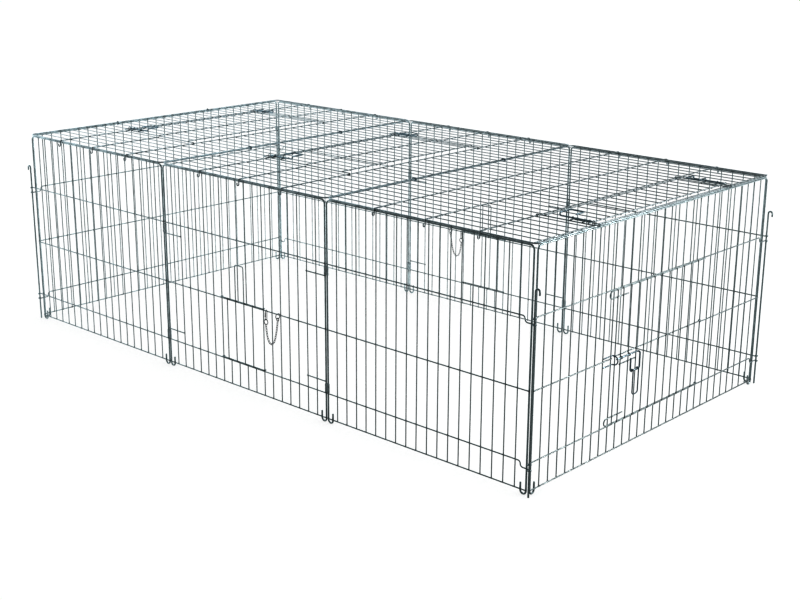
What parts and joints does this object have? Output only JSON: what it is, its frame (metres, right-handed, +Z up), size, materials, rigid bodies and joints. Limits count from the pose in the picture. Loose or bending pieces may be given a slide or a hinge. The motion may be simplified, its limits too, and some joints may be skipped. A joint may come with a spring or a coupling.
{
  "type": "outdoor rabbit run",
  "caption": "Long rectangular wire run for rabbits, with hinged wire panels, an end door, sliding hatches, corner rods and a sectioned wire cover with flaps.",
  "frame": {"origin": "centre of the run on the ground", "axes": "+X along the run towards the end with the door, +Y to the back, +Z up"},
  "size_m": [2.2054, 1.1614, 0.6781],
  "materials": {
    "panel_wire": "zinc-coated welded wire, dull",
    "cover_wire": "zinc-coated welded wire, dull",
    "rod_wire": "zinc-coated rod, dull",
    "fastener_wire": "zinc-coated bent wire, darker",
    "sleeve_sheet": "zinc-coated pressed sheet",
    "chain_metal": "plated steel, bright"
  },
  "bodies": {
    "walls": {"front_wall_left": "panel_wire", "front_wall_middle": "panel_wire", "front_wall_right": "panel_wire", "back_wall_left": "panel_wire", "back_wall_middle": "panel_wire", "back_wall_right": "panel_wire", "left_end_wall": "panel_wire", "right_end_wall": "panel_wire", "front_left_sleeves": "sleeve_sheet", "front_right_sleeves": "sleeve_sheet", "back_left_sleeves": "sleeve_sheet", "back_right_sleeves": "sleeve_sheet", "clips_end_wall": "fastener_wire", "door_keeper": "fastener_wire"},
    "front_left_rod": {"front_left_rod": "rod_wire"},
    "front_right_rod": {"front_right_rod": "rod_wire"},
    "back_left_rod": {"back_left_rod": "rod_wire"},
    "back_right_rod": {"back_right_rod": "rod_wire"},
    "front_hatch": {"front_hatch": "panel_wire"},
    "front_chain_set": {"front_snap_hook": "chain_metal", "front_chain": "chain_metal", "front_chain_rings": "chain_metal"},
    "back_hatch": {"back_hatch": "panel_wire"},
    "back_chain_set": {"back_snap_hook": "chain_metal", "back_chain": "chain_metal", "back_chain_rings": "chain_metal"},
    "door": {"end_door": "panel_wire"},
    "door_bolt": {"door_bolt": "fastener_wire"},
    "door_pull": {"door_pull": "fastener_wire"},
    "cover_left": {"cover_left": "cover_wire", "clips_left": "fastener_wire"},
    "cover_middle": {"cover_middle": "cover_wire", "clips_right": "fastener_wire"},
    "cover_right": {"cover_right": "cover_wire"},
    "flap_left": {"flap_left": "cover_wire"},
    "flap_left_bolt_front": {"flap_left_bolt_front": "fastener_wire"},
    "flap_left_bolt_back": {"flap_left_bolt_back": "fastener_wire"},
    "flap_middle": {"flap_middle": "cover_wire"},
    "flap_middle_bolt_front": {"flap_middle_bolt_front": "fastener_wire"},
    "flap_middle_bolt_back": {"flap_middle_bolt_back": "fastener_wire"},
    "flap_right": {"flap_right": "cover_wire"},
    "flap_right_bolt_front": {"flap_right_bolt_front": "fastener_wire"},
    "flap_right_bolt_back": {"flap_right_bolt_back": "fastener_wire"}
  },
  "joints": [
    {"name": "front_left_rod_lift", "type": "slide", "parent": "walls", "child": "front_left_rod", "axis": [0, 0, 1], "range_m": [0, 0.48]},
    {"name": "front_right_rod_lift", "type": "slide", "parent": "walls", "child": "front_right_rod", "axis": [0, 0, 1], "range_m": [0, 0.48]},
    {"name": "back_left_rod_lift", "type": "slide", "parent": "walls", "child": "back_left_rod", "axis": [0, 0, 1], "range_m": [0, 0.48]},
    {"name": "back_right_rod_lift", "type": "slide", "parent": "walls", "child": "back_right_rod", "axis": [0, 0, 1], "range_m": [0, 0.48]},
    {"name": "front_hatch_lift", "type": "slide", "parent": "walls", "child": "front_hatch", "axis": [0, 0, 1], "range_m": [0, 0.182]},
    {"name": "front_chain_swing", "type": "hinge", "parent": "walls", "child": "front_chain_set", "pos_m": [0, -0.5698, 0.281], "axis": [-1, 0, 0], "range_deg": [0, 75]},
    {"name": "back_hatch_lift", "type": "slide", "parent": "walls", "child": "back_hatch", "axis": [0, 0, 1], "range_m": [0, 0.182]},
    {"name": "back_chain_swing", "type": "hinge", "parent": "walls", "child": "back_chain_set", "pos_m": [0, 0.5698, 0.281], "axis": [1, 0, 0], "range_deg": [0, 75]},
    {"name": "door_hinge", "type": "hinge", "parent": "walls", "child": "door", "pos_m": [1.0804, 0.2244, 0.281], "axis": [0, 0, 1], "range_deg": [0, 155]},
    {"name": "door_bolt_slide", "type": "slide", "parent": "door", "child": "door_bolt", "axis": [0, -1, 0], "range_m": [0, 0.03]},
    {"name": "door_pull_swing", "type": "hinge", "parent": "door_bolt", "child": "door_pull", "pos_m": [1.0975, -0.1314, 0.2303], "axis": [0, -1, 0], "range_deg": [-8, 100]},
    {"name": "cover_left_hinge", "type": "hinge", "parent": "walls", "child": "cover_left", "pos_m": [-1.0804, 0, 0.65655], "axis": [0, -1, 0], "range_deg": [0, 90]},
    {"name": "cover_middle_hinge", "type": "hinge", "parent": "cover_left", "child": "cover_middle", "pos_m": [-0.35747, 0, 0.65655], "axis": [0, -1, 0], "range_deg": [0, 90]},
    {"name": "cover_right_hinge", "type": "hinge", "parent": "cover_middle", "child": "cover_right", "pos_m": [0.36547, 0, 0.65655], "axis": [0, -1, 0], "range_deg": [0, 90]},
    {"name": "flap_left_hinge", "type": "hinge", "parent": "cover_left", "child": "flap_left", "pos_m": [-0.5404, 0, 0.6587], "axis": [0, 1, 0], "range_deg": [0, 95]},
    {"name": "flap_left_bolt_front_slide", "type": "slide", "parent": "flap_left", "child": "flap_left_bolt_front", "axis": [-1, 0, 0], "range_m": [0, 0.03]},
    {"name": "flap_left_bolt_back_slide", "type": "slide", "parent": "flap_left", "child": "flap_left_bolt_back", "axis": [-1, 0, 0], "range_m": [0, 0.03]},
    {"name": "flap_middle_hinge", "type": "hinge", "parent": "cover_middle", "child": "flap_middle", "pos_m": [0.18253, 0, 0.6587], "axis": [0, 1, 0], "range_deg": [0, 95]},
    {"name": "flap_middle_bolt_front_slide", "type": "slide", "parent": "flap_middle", "child": "flap_middle_bolt_front", "axis": [-1, 0, 0], "range_m": [0, 0.03]},
    {"name": "flap_middle_bolt_back_slide", "type": "slide", "parent": "flap_middle", "child": "flap_middle_bolt_back", "axis": [-1, 0, 0], "range_m": [0, 0.03]},
    {"name": "flap_right_hinge", "type": "hinge", "parent": "cover_right", "child": "flap_right", "pos_m": [0.90547, 0, 0.6587], "axis": [0, -1, 0], "range_deg": [0, 95]},
    {"name": "flap_right_bolt_front_slide", "type": "slide", "parent": "flap_right", "child": "flap_right_bolt_front", "axis": [1, 0, 0], "range_m": [0, 0.03]},
    {"name": "flap_right_bolt_back_slide", "type": "slide", "parent": "flap_right", "child": "flap_right_bolt_back", "axis": [1, 0, 0], "range_m": [0, 0.03]}
  ]
}
